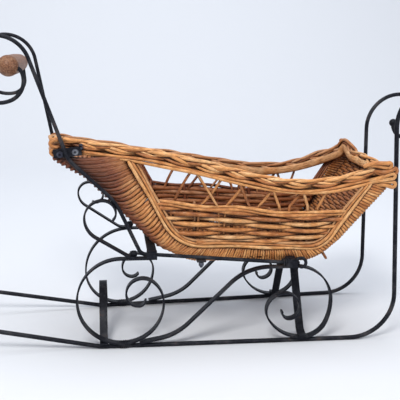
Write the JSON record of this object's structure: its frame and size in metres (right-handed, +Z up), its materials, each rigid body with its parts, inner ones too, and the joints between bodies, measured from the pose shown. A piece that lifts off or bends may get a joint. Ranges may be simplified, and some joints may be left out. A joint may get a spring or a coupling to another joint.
{
  "type": "push sleigh",
  "caption": "Small push sleigh: a boat-shaped wicker basket on a wrought iron frame with curled runners, scroll supports and a turned wooden push grip.",
  "frame": {"origin": "on the floor under the middle of the whole sleigh", "axes": "+X forward to the runner curls, +Y to the sleigh's left, +Z up"},
  "size_m": [0.5186, 0.1473, 0.306],
  "materials": {
    "iron": "satin, worn black",
    "wicker": "aged orange-brown willow",
    "grip_wood": "turned, reddish brown"
  },
  "bodies": {
    "root": {"runner_right": "iron", "runner_left": "iron", "rear_scroll_right": "iron", "rear_scroll_left": "iron", "front_scroll_right": "iron", "front_scroll_left": "iron", "upper_scroll_right": "iron", "upper_scroll_left": "iron", "handle_rod_right": "iron", "handle_rod_left": "iron", "rear_clamp_right": "iron", "rear_clamp_left": "iron", "front_clamp_right": "iron", "front_clamp_left": "iron", "rim_plate_right": "iron", "rim_plate_left": "iron", "arch_tie_rear": "iron", "arch_tie_front": "iron", "cross_strap_rear": "iron", "cross_strap_mid": "iron", "cross_strap_front": "iron", "side_rim_right": "wicker", "side_rim_left": "wicker", "side_border_right": "wicker", "side_border_left": "wicker", "side_strands_right": "wicker", "side_strands_left": "wicker", "side_weave_right": "wicker", "side_weave_left": "wicker", "side_lattice_right": "wicker", "side_lattice_left": "wicker", "rear_rim": "wicker", "front_rim": "wicker", "rear_wall": "wicker", "floor": "wicker", "front_wall": "wicker", "grip": "grip_wood"}
  },
  "joints": []
}
